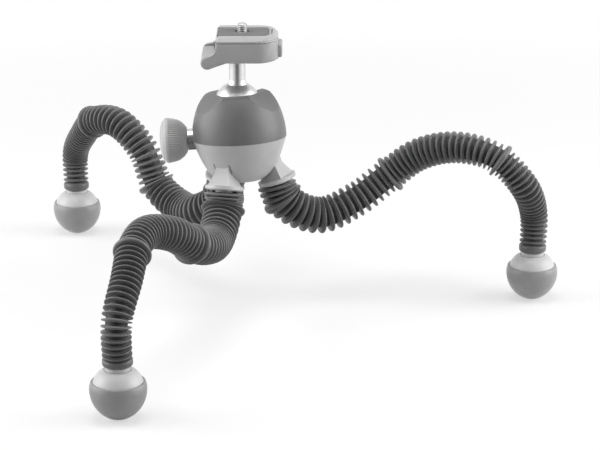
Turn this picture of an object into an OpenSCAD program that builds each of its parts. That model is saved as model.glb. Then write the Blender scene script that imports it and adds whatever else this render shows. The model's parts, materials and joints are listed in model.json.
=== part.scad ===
// Flexible leg tripod with a ball head and a quick release clamp.
// Millimetres. X is the viewer's right, Y points away from the viewer, Z is up.
// The origin is on the floor, in the middle of the three feet's outer box.

/* [Body] */
// Radius of the round body at its seam
body_r = 30; // [27:0.5:34]
// Height at which the upper dome would close
dome_rise = 40; // [38:0.5:46]
// Height of the flat rim above the seam
rim_z = 28.5; // [27:0.5:30]
// Height of the flat cut off the bottom of the lower shell
lower_cut = 3; // [2:0.5:5]
// Wall of both shells
shell_wall = 2.4; // [1.6:0.2:3]
// Height of the seam above the floor
body_z = 109; // [104:1:118]
// Lean of the body away from the viewer, degrees
lean_back = 5; // [0:1:8]
// Lean of the body to the viewer's left, degrees
lean_side = 3; // [0:1:6]
// Slope of the two finger scoops beside the rim, degrees
scoop_slope = 42; // [36:1:48]
// Distance from the axis at which a scoop leaves the rim
scoop_start = 15; // [14:0.5:18]
// Turn of each scoop away from the viewer's side, degrees
scoop_turn = 66; // [60:1:80]
// Length of the screws that hold the shells together
shell_screw_l = 12; // [9:0.5:14]

/* [Ball head] */
// Radius of the ball
ball_r = 15; // [13.5:0.5:16]
// Height of the ball's centre above the seam
ball_z = 21; // [20:0.5:22]
// Diameter of the stem
stem_d = 10.4; // [9:0.2:12]
// Distance from the ball's centre to the underside of the clamp
stem_l = 31.4; // [30:0.2:38]
// Tilt of the stem when it lies in the notch, degrees from the body's axis
drop_tilt = 75; // [60:1:76]
// Bearing of the notch, degrees from the viewer's right
notch_bearing = 60; // [40:5:80]
// Wall of the ball seat
seat_wall = 2.5; // [1.6:0.1:3.5]

/* [Clamp and plate] */
// Length of the clamp and of the plate
plate_l = 39; // [38:1:48]
// Depth of the clamp and of the plate
plate_w = 40; // [38:1:48]
// Distance from the open end of the plate to the stem
plate_back = 13; // [12:0.5:16]
// Radius of the two round corners of the plate
corner_r = 13; // [10:0.5:15]
// Height of the clamp
clamp_h = 13; // [12.5:0.5:14]
// Thickness of the plate
plate_h = 2.6; // [2.4:0.1:3.6]
// Floor of the clamp under the plate's tongue
clamp_floor = 8.6; // [8.2:0.1:9]
// Half width of the tongue at its narrow top
tongue_top = 10.5; // [9.5:0.5:12]
// Half width of the tongue at its wide foot
tongue_foot = 13; // [12:0.5:14]
// Length of the grip pad
pad_l = 32; // [28:1:34]
// Depth of the grip pad
pad_w = 21; // [16:1:26]
// Thickness of the grip pad
pad_h = 1.4; // [1:0.1:1.8]
// Reach of the two ears past the open end of the clamp
ear_reach = 5.2; // [5:0.1:8]
// Radius of the ears' round ends
ear_r = 4.2; // [3.6:0.1:4.8]
// Thickness of each ear
ear_w = 4; // [3:0.5:5]
// Radius of the lever's pin
pin_r = 1.5; // [1:0.1:2]
// Depth of the catch button
button_w = 18; // [14:1:22]
// Height of the catch button
button_h = 8.2; // [7:0.2:8.6]
// Height by which the catch button stands proud
button_proud = 2.5; // [2:0.1:3.5]
// Travel of the catch button
button_travel = 1.5; // [1:0.1:1.8]

/* [Camera screw] */
// Diameter of the camera screw
screw_d = 6.35; // [6.35, 9.525]
// Height of the camera screw above the plate
screw_l = 5.5; // [4.5:0.1:7]
// Distance from the stem to the camera screw
screw_x = 3.3; // [0:0.1:5]
// Radius of the screw's head
screw_head_r = 7.2; // [6:0.1:8]

/* [Lock knob] */
// Diameter of the knob at its rim
knob_d = 28.6; // [27:0.2:32]
// Length of the knob
knob_l = 14.6; // [14:0.2:17]
// Reach of the knob's boss past the body
boss_proud = 2.8; // [2.4:0.2:5]
// Height of the knob's axis above the seam
knob_z = 0.5; // [0:0.5:2]
// Turn of the knob's axis towards the viewer, degrees
knob_turn = 2; // [0:1:15]
// Number of grip grooves
knob_grooves = 60; // [40:1:70]
// Diameter of the lock shaft
shaft_d = 6; // [5:0.2:7]

/* [Legs] */
// Distance from the body's round to the middle of each collar's flange
root_proud = 6.5; // [6:0.1:7.5]
// Angle of each collar's flange below the seam, degrees
root_low = 52; // [50:1:54]
// Tilt of each leg's root from the body's axis, degrees
root_tilt = 15; // [12:1:20]
// Bearing of the first leg, degrees from the viewer's right
first_bearing = 2; // [-5:1:10]
// Height of the collar's pyramid
collar_h = 9.8; // [9:0.2:11]
// Radius of the collar's flange
flange_r = 12.3; // [12:0.1:13]
// Pitch of the ribs between the first and the second thick ring
pitch_upper = 4.8; // [4.4:0.1:5.2]
// Pitch of the ribs between the second and the third thick ring
pitch_middle = 3.95; // [3.7:0.05:4.2]
// Pitch of the ribs between the third thick ring and the cuff
pitch_lower = 3.3; // [3.1:0.05:3.5]
// Width of a thick ring along the leg
ring_w = 4; // [3:0.2:5]
// Length of the smooth cuff above the foot
cuff_l = 5; // [4:0.5:8]
// Radius of the ribs at the top of the leg
rib_r_top = 12.6; // [12:0.1:13.5]
// Radius of the ribs at the foot
rib_r_foot = 8.6; // [8.2:0.1:9.2]
// Height by which a thick ring stands proud of the ribs
ring_proud = 1.6; // [1:0.1:2.2]
// Radius of the sleeve's bore at the top of the leg
bore_r_top = 7.9; // [7.8:0.1:8.4]
// Radius of the sleeve's bore at the foot
bore_r_foot = 6; // [5.9:0.1:6.3]
// Least wall of the sleeve, at the bottom of a groove
sleeve_wall = 0.8; // [0.8:0.1:1.4]
// Radius of the link cups at the top of the leg
cup_r_top = 5.6; // [5:0.1:5.7]
// Radius of the link cups at the foot
cup_r_foot = 4; // [3.6:0.1:4.1]

/* [Feet] */
// Radius of the rubber foot where it is widest
foot_r = 16.5; // [15:0.5:18]
// Depth of the rubber foot below its widest place, in foot radii
foot_stretch = 1.17; // [1:0.01:1.25]
// Depth of the foot's cap from the end of the leg to the rubber lip
cap_h = 8.4; // [7.6:0.2:9]

/* [Fits] */
// Running clearance of pins, balls and shafts
run_fit = 0.05; // [0.03:0.01:0.08]
// Clearance between pieces that slide past each other
slide_fit = 0.3; // [0.2:0.05:0.4]
// Clearance between pieces that are fixed to each other
seat_fit = 0.1; // [0.05:0.05:0.2]

/* [Hidden] */
$fn = 64;
links = 9;
leg_names = ["right", "back", "front"];

// Bearing and slope of each link, root to foot, as the legs are bent in the stored pose.
// The slope of the trimmed link is worked out, so that every foot stands on the floor.
trimmed = 2;
bends = [
    [[12, -27], [17, 18], [13, 0], [-8, 37], [-21, 16], [-20, -9], [-6, -44], [53, -58], [0, -90]],
    [[139, -35], [121, -9], [133, 0], [156, 66], [145, 37], [133, -7], [119, -35], [114, -45], [120, -90]],
    [[260, -26], [260, 8], [252, 0], [240, 30], [237, 17], [256, -4], [262, -28], [256, -44], [260, -90]]
];

// Ribbed stretches of a sleeve: number of ribs and their pitch.
root_pitch = 3.1;
stretches = [[3, root_pitch], [16, pitch_upper], [19, pitch_middle], [20, pitch_lower]];
sleeve_start = 1.5;
ring_sides = 8;

function stretch_l(k) = stretches[k][0] * stretches[k][1];
function stretch_start(k) = k == 0 ? sleeve_start : stretch_start(k - 1) + stretch_l(k - 1) + ring_w;
leg_l = stretch_start(3) + stretch_l(3) + cuff_l;
root_drop = 14;
link_l = (leg_l - root_drop) / links;

// Vectors and turns.
function unit(v) = v / norm(v);
function heading(b) = [cos(b[0]) * cos(b[1]), sin(b[0]) * cos(b[1]), sin(b[1])];
function turn_x(a) = [[1, 0, 0], [0, cos(a), -sin(a)], [0, sin(a), cos(a)]];
function turn_y(a) = [[cos(a), 0, sin(a)], [0, 1, 0], [-sin(a), 0, cos(a)]];
body_turn = turn_y(-lean_side) * turn_x(-lean_back);

// Root point and direction of each leg, seen from the seam's centre.
root_r = (body_r + root_proud) * cos(root_low);
root_depth = (body_r + root_proud) * sin(root_low);
function bearing(k) = first_bearing + 120 * k;
function root_point(k) = body_turn * [root_r * cos(bearing(k)), root_r * sin(bearing(k)), -root_depth];
function root_dir(k) = body_turn * heading([bearing(k), root_tilt - 90]);
function first_ball(k) = root_point(k) + root_drop * root_dir(k);

// Slopes with the trimmed link solved, so that the leg ends at the height of a standing foot.
foot_depth = foot_r * foot_stretch;
lip_rise = 0.27 * foot_r;
foot_drop = cap_h + lip_rise;
leg_end_z = foot_drop + foot_depth;
function other_rise(k) = [for (i = [0:links - 1]) i == trimmed ? 0 : sin(bends[k][i][1])] * [for (i = [1:links]) 1];
function trim_slope(k) = asin((leg_end_z - body_z - first_ball(k)[2]) / link_l - other_rise(k));
function link_bend(k, i) = i == trimmed ? [bends[k][i][0], trim_slope(k)] : bends[k][i];

// Ball centres down a leg, from the first ball to the leg's end, before the part is centred.
function chain(k, i) = i == 0 ? first_ball(k) : chain(k, i - 1) + link_l * heading(link_bend(k, i - 1));
leg_ends = [for (k = [0:2]) chain(k, links)];
function middle(axis) = (min([for (e = leg_ends) e[axis]]) + max([for (e = leg_ends) e[axis]])) / 2;
body_origin = [-middle(0), -middle(1), body_z];
head_origin = body_origin + body_turn * [0, 0, ball_z];

// Points that a leg's curve runs through, with straight links added at both ends.
function leg_knots(k) = concat(
    [for (i = [2, 1]) first_ball(k) - i * link_l * root_dir(k)],
    [for (i = [0:links]) chain(k, i)],
    [leg_ends[k] + link_l * heading(link_bend(k, links - 1))]);
knots = [for (k = [0:2]) [for (p = leg_knots(k)) p + body_origin]];

// Point on a leg's curve, a distance s down the leg from the flange.
function curve(a, b, ta, tb, t) = (2 * t * t * t - 3 * t * t + 1) * a + (t * t * t - 2 * t * t + t) * ta
    + (3 * t * t - 2 * t * t * t) * b + (t * t * t - t * t) * tb;
function leg_point(k, s) = let (u = (s - root_drop) / link_l, i = min(floor(u), links - 1), p = knots[k])
    curve(p[i + 2], p[i + 3], (p[i + 3] - p[i + 1]) / 2, (p[i + 4] - p[i + 2]) / 2, u - i);
function leg_tangent(k, s) = unit(leg_point(k, s + 0.2) - leg_point(k, s - 0.2));

// One ring of a sleeve: a polygon square to the leg's curve.
function leg_ring(k, s, r) = let (
        t = leg_tangent(k, s),
        side = [-sin(bearing(k)), cos(bearing(k)), 0],
        e1 = unit(side - (side * t) * t),
        e2 = cross(t, e1),
        c = leg_point(k, s))
    [for (j = [0:ring_sides - 1]) let (a = 360 * j / ring_sides) c + r * (cos(a) * e1 + sin(a) * e2)];

// Radii down the leg.
function along(s, top, foot) = top + (foot - top) * s / leg_l;
function rib_r(s) = along(s, rib_r_top, rib_r_foot);
function bore_r(s) = along(s, bore_r_top, bore_r_foot);
function groove_r(s) = bore_r(s) + sleeve_wall;
function cup_r(i) = cup_r_top + (cup_r_foot - cup_r_top) * i / links;
function link_ball_r(i) = cup_r(i) / 1.36;

// Station and radius of every ring on the outside of a sleeve: a groove and a crest for each rib.
function ribs_of(k) = [for (n = [0:stretches[k][0] - 1]) for (h = [0, 1])
    let (s = stretch_start(k) + (n + h / 2) * stretches[k][1]) [s, h == 0 ? groove_r(s) : rib_r(s)]];
function thick_of(k) = let (s = stretch_start(k) + stretch_l(k))
    [[s, groove_r(s)], [s + ring_w / 4, rib_r(s) + ring_proud], [s + ring_w * 3 / 4, rib_r(s) + ring_proud]];
cuff_start = leg_l - cuff_l;
cuff_r = rib_r_foot + 0.2;
sleeve_outside = concat(
    ribs_of(0), thick_of(0), ribs_of(1), thick_of(1), ribs_of(2), thick_of(2), ribs_of(3),
    [[cuff_start, groove_r(cuff_start)], [cuff_start + 0.4, cuff_r], [leg_l - 1, cuff_r], [leg_l, cuff_r - 0.8]]);
bore_rings = links * 5;
sleeve_bore = [for (n = [0:bore_rings])
    let (s = sleeve_start + (leg_l - sleeve_start) * n / bore_rings) [s, bore_r(s)]];

// Skin between consecutive rings, first ring at index from. Turned inside out for a bore.
function skin(from, count, inside) = [for (n = [0:count - 2]) for (j = [0:ring_sides - 1]) for (h = [0, 1])
    let (
        a = from + n * ring_sides + j,
        b = from + n * ring_sides + (j + 1) % ring_sides,
        c = a + ring_sides,
        d = b + ring_sides,
        f = h == 0 ? [a, c, d] : [a, d, b])
    inside ? [f[2], f[1], f[0]] : f];
// Flat end between an outer ring and a bore ring.
function rim(outer, inner, far) = [for (j = [0:ring_sides - 1]) for (h = [0, 1])
    let (
        n = (j + 1) % ring_sides,
        f = h == 0 ? [outer + j, outer + n, inner + n] : [outer + j, inner + n, inner + j])
    far ? [f[2], f[1], f[0]] : f];

// Heights in the head, above the underside of the clamp.
plate_gap = slide_fit;
plate_z = clamp_h + plate_gap;
plate_top = plate_z + plate_h;
plate_front = plate_l - plate_back;
tongue_end = plate_front - corner_r + 1;
tongue_z = clamp_floor + slide_fit;
screw_head_h = 2.6;
screw_head_z = tongue_z + 0.2;
ear_x = -plate_back - ear_reach;
ear_z = 0.2;
lever_r = ear_reach - slide_fit - 0.2;
lever_w = plate_w - 2 * ear_w - 2 * slide_fit;
pin_cover = 1.2;
pin_l = plate_w - 2 * pin_cover;
spigot_r = 3.5;
spigot_l = 3.4;
stem_screw_r = 2;
stem_screw_head_r = 4.2;
stem_screw_l = 14;
button_depth = 4;
button_z = 1.4;
spring_r = 1.7;
spring_wire = 0.35;
spring_turns = 4;
spring_l = 3.6;
pocket_x = plate_front - button_depth;

// Heights and radii in the body.
lower_depth = body_r - lower_cut;
seat_top = ball_z - ball_r / 3;
core_top = ball_z - ball_r + 2;
core_bottom = -0.533 * body_r;
core_r = 0.65 * body_r;
core_flange_h = 3;
core_flange_r = body_r - shell_wall - 1.6;
roof_z = seat_top + 2.5;
bush_r = 6.8;
bush_start = core_r + seat_fit;
bush_end = body_r + boss_proud;
knob_start = bush_end + slide_fit;
nut_r = 6;
nut_l = 8;
nut_room = 2;
nut_start = core_r - nut_l - nut_room - 0.5;
neck_side = 9.5;
neck_l = 7;
shell_screw_r = 1.4;
shell_screw_head_r = 2.6;
shell_screw_head_h = 1.4;
post_r = 3.5;
screw_ring_r = 0.39 * body_r - post_r;
notch_room = 2;
notch_w = stem_d + 2 * notch_room;

// Places.
module at_body() translate(body_origin) rotate([-lean_back, -lean_side, 0]) children();
module at_clamp() translate(head_origin + [0, 0, stem_l]) children();
// Along the knob's axis: Z runs from the body's axis out to the knob.
module in_body_at_knob() translate([0, 0, knob_z]) rotate([0, 0, knob_turn]) rotate([0, -90, 0]) children();
// Along a leg's root: Z runs down the leg from the flange.
module in_body_at_root(k) rotate([0, 0, bearing(k)]) translate([root_r, 0, -root_depth])
    rotate([0, 180 - root_tilt, 0]) children();
module at_link(k, i) translate(knots[k][i + 2]) rotate([0, 90 - link_bend(k, i)[1], link_bend(k, i)[0]]) children();
module at_foot(k) translate(knots[k][links + 2])
    rotate([0, 90 - link_bend(k, links - 1)[1], link_bend(k, links - 1)[0]]) children();

// Body
function dome_radius(z, inset) = (body_r - inset) * sqrt(1 - pow(z / (dome_rise - inset), 2));
module dome(top, inset, edge) {
    steps = 24;
    rotate_extrude() polygon(concat(
        [[0, 0]],
        [for (i = [0:steps]) let (z = (top - edge) * i / steps) [dome_radius(z, inset), z]],
        [[dome_radius(top, inset) - edge, top], [0, top]]));
}

// The lower shell narrows at once below the seam and rounds off to its flat bottom.
bottom_r = 0.433 * body_r;
bowl_curve = [
    [body_r, 0], [0.9 * body_r, -0.3 * lower_depth], [0.75 * body_r, -0.89 * lower_depth], [bottom_r, -lower_depth]];
function bowl_point(t) = pow(1 - t, 3) * bowl_curve[0] + 3 * t * pow(1 - t, 2) * bowl_curve[1]
    + 3 * t * t * (1 - t) * bowl_curve[2] + t * t * t * bowl_curve[3];
module bowl(inset) {
    steps = 20;
    shrink = [(body_r - inset) / body_r, (lower_depth - inset) / lower_depth];
    rotate_extrude($fn = 96) polygon(concat(
        [[0, 0]],
        [for (i = [0:steps]) let (p = bowl_point(i / steps)) [p[0] * shrink[0], p[1] * shrink[1]]],
        [[0, inset - lower_depth]]));
}

module scoops() {
    for (side = [-1, 1])
        rotate([0, 0, 270 + side * scoop_turn]) translate([scoop_start, 0, rim_z]) rotate([0, scoop_slope, 0])
            translate([0, -body_r, 0]) cube([2 * body_r, 2 * body_r, body_r]);
}

module notch() {
    rotate([0, 0, notch_bearing]) translate([0, 0, ball_z]) rotate([0, drop_tilt + 1 - 90, 0]) {
        translate([0, -notch_w / 2, 0]) cube([2 * body_r, notch_w, body_r]);
        rotate([0, 90, 0]) cylinder(d = notch_w, h = 2 * body_r);
    }
}

module knob_hole() {
    in_body_at_knob() translate([0, 0, bush_start]) cylinder(r = bush_r + seat_fit, h = body_r);
}

module upper_shell() {
    color("#54575a") at_body() difference() {
        dome(rim_z, 0, 1);
        dome(roof_z, shell_wall, 0.5);
        translate([0, 0, ball_z]) sphere(ball_r + slide_fit + run_fit, $fn = 96);
        scoops();
        notch();
        knob_hole();
    }
}

module lower_shell() {
    slit_w = 0.7;
    slit_l = 5;
    color("#a7a9ab") at_body() difference() {
        bowl(0);
        bowl(shell_wall);
        knob_hole();
        for (k = [0:2]) in_body_at_root(k) {
            translate([0, 0, -collar_h]) collar_pyramid(seat_fit);
            collar_neck(seat_fit);
            for (side = [-1, 1])
                translate([-body_r, side * (neck_side / 2 + slit_w) - slit_w / 2, -collar_h - slit_l])
                    cube([body_r, slit_w, slit_l]);
        }
        shell_screw_places() {
            cylinder(r = shell_screw_r + seat_fit, h = lower_depth);
            cylinder(r = shell_screw_head_r + seat_fit, h = shell_screw_head_h + 0.2);
        }
    }
}

module shell_screw_places() {
    for (k = [0:2]) rotate([0, 0, bearing(k) + 60]) translate([screw_ring_r, 0, -lower_depth]) children();
}

module shell_screws() {
    color("#8a8c8e") at_body() shell_screw_places() {
        difference() {
            translate([0, 0, 0.2]) cylinder(r = shell_screw_head_r, h = shell_screw_head_h);
            for (a = [0, 90]) rotate([0, 0, a]) translate([-1.5, -0.3, 0]) cube([3, 0.6, 0.8]);
        }
        translate([0, 0, shell_screw_head_h]) cylinder(r = shell_screw_r, h = shell_screw_l);
    }
}

module body_core() {
    post_h = lower_depth - shell_wall + core_bottom;
    color("#6d6f72") at_body() difference() {
        union() {
            translate([0, 0, core_bottom]) cylinder(r = core_r, h = core_top - core_bottom);
            translate([0, 0, -core_flange_h]) cylinder(r = core_flange_r, h = 2 * core_flange_h);
            shell_screw_places() translate([0, 0, shell_wall]) cylinder(r = post_r, h = post_h + 1);
        }
        translate([0, 0, ball_z]) sphere(ball_r + slide_fit, $fn = 96);
        in_body_at_knob() {
            translate([0, 0, nut_start - nut_room]) cylinder(r = nut_r + slide_fit, h = nut_l + 2 * nut_room);
            cylinder(d = shaft_d + 2 * slide_fit, h = body_r);
        }
        knob_hole();
        for (k = [0:2]) in_body_at_root(k) collar_neck(seat_fit);
        shell_screw_places() cylinder(r = shell_screw_r + seat_fit, h = shell_screw_l + shell_screw_head_h + 0.5);
    }
}

module ball_seat() {
    color("#3c3e40") at_body() difference() {
        translate([0, 0, core_top]) cylinder(r = ball_r + seat_wall, h = seat_top - core_top);
        translate([0, 0, ball_z]) sphere(ball_r + run_fit, $fn = 96);
    }
}

// Lock
module knob_bush() {
    color("#5a5c5f") at_body() in_body_at_knob() difference() {
        translate([0, 0, bush_start]) cylinder(r = bush_r, h = bush_end - bush_start);
        cylinder(d = shaft_d + 2 * run_fit, h = 2 * body_r);
    }
}

module lock_shaft() {
    color("#d8d9da") at_body() in_body_at_knob() translate([0, 0, nut_start])
        cylinder(d = shaft_d, h = knob_start + knob_l / 2 - nut_start);
}

module lock_nut() {
    color("#b9a06a") at_body() in_body_at_knob() difference() {
        translate([0, 0, nut_start]) cylinder(r = nut_r, h = nut_l);
        cylinder(d = shaft_d + 2 * run_fit, h = body_r);
    }
}

// The knob widens from its shoulder, over a crease, to its rim. Grip grooves run down the taper.
knob_r = knob_d / 2;
crease_z = 5.2;
crease_r = knob_r - 1.4;
rim_l = knob_l - 1.8;
cap_recess = 1.6;
cap_dome = 2.8;
knob_cap_r = knob_r - 1.3;
module lock_knob() {
    shoulder_r = crease_r - 5.3;
    bulge_r = knob_r - 0.45;
    bulge_z = (crease_z + rim_l) / 2;
    taper = atan((bulge_r - crease_r) / (bulge_z - crease_z));
    grip_r = 0.5;
    grip_l = 6.4;
    grip_out = 0.1;
    color("#8b8d90") at_body() in_body_at_knob() translate([0, 0, knob_start]) difference() {
        rotate_extrude($fn = 96) polygon([
            [0, 0], [shoulder_r, 0], [shoulder_r + 0.8, 0.4], [crease_r - 2.3, 2.2], [crease_r - 0.9, 3.9],
            [crease_r, crease_z], [bulge_r, bulge_z], [knob_r, rim_l], [knob_r - 0.2, rim_l + 0.8],
            [knob_r - 0.7, rim_l + 1.4], [knob_r - 1.2, knob_l], [0, knob_l]]);
        for (i = [0:knob_grooves - 1]) rotate([0, 0, 360 * i / knob_grooves])
            translate([bulge_r + grip_out, 0, bulge_z]) rotate([0, taper, 0])
                cylinder(r = grip_r, h = grip_l, center = true, $fn = 16);
        translate([0, 0, knob_l - cap_recess]) cylinder(r = knob_cap_r, h = 2 * cap_recess);
        translate([0, 0, -1]) cylinder(d = shaft_d + 2 * run_fit, h = knob_l / 2 + 1.2);
    }
}

// Domed cap in the knob's end.
module knob_cap() {
    r = knob_cap_r - seat_fit;
    steps = 8;
    color("#b5b7b9") at_body() in_body_at_knob() translate([0, 0, knob_start + knob_l])
        rotate_extrude($fn = 96) polygon(concat(
            [[0, -cap_recess], [r, -cap_recess]],
            [for (i = [0:steps - 1]) let (a = 90 * i / steps) [r * cos(a), cap_dome * sin(a)]],
            [[0, cap_dome]]));
}

// Head
module ball_stem() {
    r = stem_d / 2;
    flare = 3;
    reach = sqrt(ball_r * ball_r - pow(r + 0.8, 2));
    color("#cfd0d2") translate(head_origin) difference() {
        union() {
            sphere(ball_r, $fn = 96);
            cylinder(r = r, h = stem_l);
            translate([0, 0, reach - 0.2]) cylinder(r1 = r + 0.8, r2 = r, h = flare);
            cylinder(r = spigot_r, h = stem_l + spigot_l);
        }
        translate([0, 0, stem_l + spigot_l - stem_screw_l])
            cylinder(r = stem_screw_r + run_fit, h = stem_screw_l + 1);
    }
}

module stem_screw() {
    color("#8a8c8e") at_clamp() {
        difference() {
            translate([0, 0, spigot_l + seat_fit]) cylinder(r = stem_screw_head_r, h = 2.6);
            translate([0, 0, spigot_l + 1.2]) cylinder(r = 2, h = 3, $fn = 6);
        }
        translate([0, 0, spigot_l + seat_fit + 1 - stem_screw_l]) cylinder(r = stem_screw_r, h = stem_screw_l);
    }
}

// Outline of the clamp and plate from above: square at the open end, round at the other.
module plate_outline(inset) {
    x0 = -plate_back + inset;
    x1 = plate_front - inset;
    y1 = plate_w / 2 - inset;
    r = corner_r - inset;
    translate([x0, -y1]) square([x1 - r - x0, 2 * y1]);
    translate([x0, -y1 + r]) square([x1 - x0, 2 * (y1 - r)]);
    for (side = [-1, 1]) translate([x1 - r, side * (y1 - r)]) circle(r);
}

// Dovetail section along X, from the open end.
module tongue(start, end, clear) {
    translate([start, 0, 0]) rotate([90, 0, 90]) linear_extrude(end - start) polygon([
        [-tongue_foot - clear, tongue_z - clear], [tongue_foot + clear, tongue_z - clear],
        [tongue_top + clear, plate_z + 0.1], [-tongue_top - clear, plate_z + 0.1]]);
}

module ear_outline() {
    fillet = 2;
    ear_top = ear_z + ear_r;
    ear_root = -plate_back + plate_l / 6;
    translate([ear_x, ear_z]) circle(ear_r);
    polygon(concat(
        [[ear_root, 0], [ear_root, ear_top + fillet]],
        [for (a = [0:15:90]) [-plate_back - fillet * (1 - cos(a)), ear_top + fillet * (1 - sin(a))]],
        [[ear_x, ear_top], [ear_x, ear_z - ear_r], [ear_x + 1.5, ear_z - ear_r + 0.3]]));
}

// Underside of the clamp's nose: a round that rises towards the catch button.
module nose_cut() {
    nose_l = 14;
    nose_rise = 0.6;
    round_r = (nose_l * nose_l + nose_rise * nose_rise) / (2 * nose_rise);
    translate([plate_front - nose_l, plate_w, 0]) rotate([90, 0, 0]) linear_extrude(2 * plate_w) difference() {
        translate([0, -1]) square([nose_l + 1, nose_rise + 2]);
        translate([0, round_r]) circle(round_r, $fn = 360);
    }
}

module plate_clamp() {
    color("#77797c") at_clamp() difference() {
        union() {
            linear_extrude(clamp_h) plate_outline(0);
            for (side = [-1, 1]) translate([0, side * (plate_w - ear_w) / 2 + ear_w / 2, 0]) rotate([90, 0, 0])
                linear_extrude(ear_w) ear_outline();
        }
        tongue(-plate_back - plate_l, tongue_end + slide_fit, slide_fit);
        nose_cut();
        translate([0, 0, -1]) cylinder(r = spigot_r + run_fit, h = clamp_h);
        translate([0, 0, spigot_l]) cylinder(r = stem_screw_head_r + slide_fit, h = clamp_h);
        translate([ear_x, pin_l / 2 + run_fit, ear_z]) rotate([90, 0, 0])
            cylinder(r = pin_r + run_fit, h = pin_l + 2 * run_fit);
        translate([pocket_x - button_travel - 0.2, -button_w / 2 - slide_fit, button_z - slide_fit])
            cube([2 * button_depth, button_w + 2 * slide_fit, button_h + 2 * slide_fit]);
        translate([pocket_x - spring_l, 0, button_z + button_h / 2]) rotate([0, 90, 0])
            cylinder(r = spring_r + 2 * spring_wire, h = spring_l);
    }
}

module clamp_lever() {
    arm = 1;
    tip_r = 3.2;
    tip_z = -2;
    saddle_r = 12.4;
    saddle_depth = 1;
    color("#b9bbbd") at_clamp() translate([ear_x, lever_w / 2, ear_z]) rotate([90, 0, 0])
        linear_extrude(lever_w) difference() {
            union() {
                circle(lever_r);
                translate([-arm, tip_z]) circle(tip_r);
                translate([-arm, tip_z - tip_r]) square([arm, lever_r - tip_z]);
            }
            circle(pin_r + run_fit);
            translate([-arm / 3, lever_r + saddle_r - saddle_depth]) circle(saddle_r, $fn = 96);
        }
}

module lever_pin() {
    color("#8a8c8e") at_clamp() translate([ear_x, pin_l / 2, ear_z]) rotate([90, 0, 0])
        cylinder(r = pin_r, h = pin_l);
}

module catch_button() {
    color("#55575a") at_clamp() difference() {
        translate([pocket_x, -button_w / 2, button_z]) cube([button_depth + button_proud, button_w, button_h]);
        for (side = [-1, 1]) translate([plate_front + button_proud, side * button_w / 2, button_z - 1])
            rotate([0, 0, 45]) translate([-1.2, -1.2, 0]) cube([2.4, 2.4, button_h + 2]);
    }
}

// Coil along Z: one tube from a formula, closed at both ends.
coil_sides = 6;
coil_rings = spring_turns * 8;
function coil_ring(n) = let (a = 45 * n, z = spring_wire + (spring_l - 2 * spring_wire) * n / coil_rings)
    [for (j = [0:coil_sides - 1]) let (b = 360 * j / coil_sides, r = spring_r + spring_wire * cos(b))
        [r * cos(a), r * sin(a), z + spring_wire * sin(b)]];
module coil() {
    points = [for (n = [0:coil_rings]) for (p = coil_ring(n)) p];
    last = coil_rings * coil_sides;
    faces = concat(
        [for (n = [0:coil_rings - 1]) for (j = [0:coil_sides - 1]) for (h = [0, 1])
            let (a = n * coil_sides + j, b = n * coil_sides + (j + 1) % coil_sides)
            h == 0 ? [a, b, b + coil_sides] : [a, b + coil_sides, a + coil_sides]],
        [for (j = [1:coil_sides - 2]) [0, j + 1, j]],
        [for (j = [1:coil_sides - 2]) [last, last + j, last + j + 1]]);
    polyhedron(points, faces);
}

module catch_spring() {
    color("#c8c9cb") at_clamp() translate([pocket_x - spring_l, 0, button_z + button_h / 2]) rotate([0, 90, 0]) coil();
}

module quick_release_plate() {
    bevel = 2;
    slit_l = 14;
    slit_w = 0.8;
    slit_depth = 1.2;
    slit_gap = 2.6;
    color("#aeb0b2") at_clamp() difference() {
        union() {
            translate([0, 0, plate_z]) linear_extrude(plate_h - bevel) plate_outline(0);
            hull() {
                translate([0, 0, plate_top - bevel - 0.01]) linear_extrude(0.01) plate_outline(0, $fn = 32);
                translate([0, 0, plate_top - 0.01]) linear_extrude(0.01) plate_outline(bevel, $fn = 32);
            }
            tongue(-plate_back, tongue_end, 0);
        }
        translate([0, 0, plate_top - pad_h + 0.5]) linear_extrude(pad_h) pad_outline(seat_fit);
        translate([screw_x, 0, 0]) cylinder(d = screw_d + 2 * run_fit + 0.1, h = 2 * plate_top);
        translate([screw_x, 0, tongue_z - 1]) cylinder(r = screw_head_r + slide_fit, h = screw_head_h + 1.5);
        translate([-plate_back + pad_l + slit_gap, -slit_l / 2, plate_top - slit_depth])
            cube([slit_w, slit_l, 2 * slit_depth]);
    }
}

// Outline of the grip pad: square at the open end, rounded corners at the other.
module pad_outline(grow) {
    r = 3;
    x0 = -plate_back + 0.8 - grow;
    x1 = x0 + pad_l + 2 * grow;
    y1 = pad_w / 2 + grow;
    translate([x0, -y1]) square([x1 - r - x0, 2 * y1]);
    translate([x0, -y1 + r]) square([x1 - x0, 2 * (y1 - r)]);
    for (side = [-1, 1]) translate([x1 - r, side * (y1 - r)]) circle(r);
}

module plate_pad() {
    grooves = 9;
    step = pad_w / (grooves + 1);
    color("#4c4e51") at_clamp() difference() {
        translate([0, 0, plate_top - pad_h + 0.5]) linear_extrude(pad_h) pad_outline(0);
        translate([screw_x, 0, 0]) cylinder(d = screw_d + 3, h = 2 * plate_top);
        for (n = [1:grooves]) translate([-2 * plate_l, -pad_w / 2 + n * step - 0.3, plate_top + 0.1])
            cube([4 * plate_l, 0.6, 2]);
    }
}

module camera_screw() {
    neck_r = screw_d / 2 - 0.5;
    color("#9a9c9e") at_clamp() translate([screw_x, 0, 0]) difference() {
        union() {
            translate([0, 0, screw_head_z]) cylinder(r = screw_head_r, h = screw_head_h);
            translate([0, 0, screw_head_z]) cylinder(r = neck_r, h = plate_top - screw_head_z);
            translate([0, 0, plate_top]) cylinder(d = screw_d, h = screw_l);
        }
        translate([-screw_head_r, -0.6, screw_head_z - 1]) cube([2 * screw_head_r, 1.2, 2.2]);
    }
}

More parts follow.
